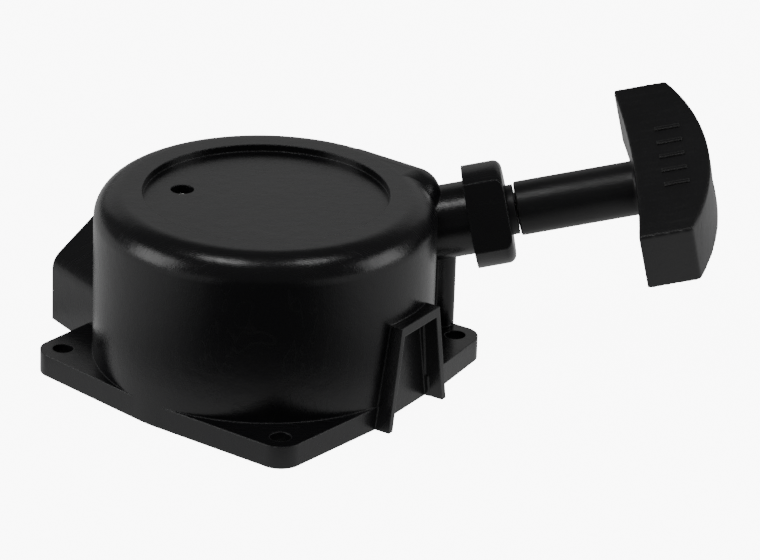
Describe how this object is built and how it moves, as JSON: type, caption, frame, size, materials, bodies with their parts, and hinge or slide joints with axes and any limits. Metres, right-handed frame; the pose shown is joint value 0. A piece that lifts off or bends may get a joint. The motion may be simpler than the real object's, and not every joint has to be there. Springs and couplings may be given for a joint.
{
  "type": "recoil starter",
  "caption": "Pull-cord recoil starter with a flanged drum housing, T handle on a tilted outlet, rope reel, spiral return spring and swinging pawls.",
  "frame": {"origin": "on the reel's axis, in the plane of the flange's engine face", "axes": "+Z from the engine face to the cap, +X to the side on which the rope and handle leave, +Y to the back, where the side pocket is"},
  "size_m": [0.1791, 0.117, 0.0688],
  "materials": {
    "housing_plastic": "gloss moulded nylon",
    "guide_plastic": "satin moulded acetal",
    "handle_plastic": "satin moulded, fine grain",
    "reel_nylon": "natural nylon, satin",
    "sheet_steel": "zinc plated pressing",
    "spring_steel": "blued spring strip",
    "screw_steel": "zinc plated",
    "pawl_steel": "sintered and hardened",
    "bush_bronze": "sintered bronze",
    "rope": "braided nylon cord"
  },
  "bodies": {
    "case": {"housing": "housing_plastic", "rope_guide": "guide_plastic", "spring_case": "sheet_steel", "mainspring": "spring_steel", "spring_plate": "sheet_steel", "plate_screws": "screw_steel", "centre_screw": "screw_steel", "thrust_washer": "sheet_steel", "friction_spring": "spring_steel"},
    "handle": {"handle_grip": "handle_plastic", "handle_washer": "sheet_steel", "handle_knot": "rope", "handle_plug": "handle_plastic", "rope_run": "rope"},
    "reel_unit": {"reel": "reel_nylon", "reel_bush": "bush_bronze", "rope_winding": "rope", "reel_knot": "rope", "pawl_pins": "screw_steel", "pawl_spring_a": "spring_steel", "pawl_spring_b": "spring_steel"},
    "plate": {"friction_plate": "sheet_steel"},
    "pawl_1": {"pawl_a": "pawl_steel"},
    "pawl_2": {"pawl_b": "pawl_steel"}
  },
  "joints": [
    {"name": "handle_pull", "type": "slide", "parent": "case", "child": "handle", "axis": [0.9767, 0, 0.2147], "range_m": [0, 0.6], "stiffness_N_per_m": 15, "springref_m": -0.4, "deforming": ["rope_run"]},
    {"name": "reel_spin", "type": "hinge", "parent": "case", "child": "reel_unit", "pos_m": [0, 0, 0.03], "axis": [0, 0, -1], "range_deg": [0, 1270], "deforming": ["mainspring"]},
    {"name": "plate_turn", "type": "hinge", "parent": "reel_unit", "child": "plate", "pos_m": [0, 0, 0.017], "axis": [0, 0, 1], "range_deg": [0, 25]},
    {"name": "pawl_a_swing", "type": "hinge", "parent": "reel_unit", "child": "pawl_1", "pos_m": [0.014, 0, 0.021], "axis": [0, 0, 1], "range_deg": [0, 30], "stiffness_Nm_per_rad": 0.004, "springref_deg": -17.19},
    {"name": "pawl_b_swing", "type": "hinge", "parent": "reel_unit", "child": "pawl_2", "pos_m": [-0.014, 0, 0.021], "axis": [0, 0, 1], "range_deg": [0, 30], "stiffness_Nm_per_rad": 0.004, "springref_deg": -17.19}
  ],
  "couplings": [
    {"joint": "reel_spin", "follows": "handle_pull", "rad_per_m": 36.765},
    {"joint": "pawl_a_swing", "follows": "plate_turn", "ratio": 1.2},
    {"joint": "pawl_b_swing", "follows": "plate_turn", "ratio": 1.2}
  ]
}
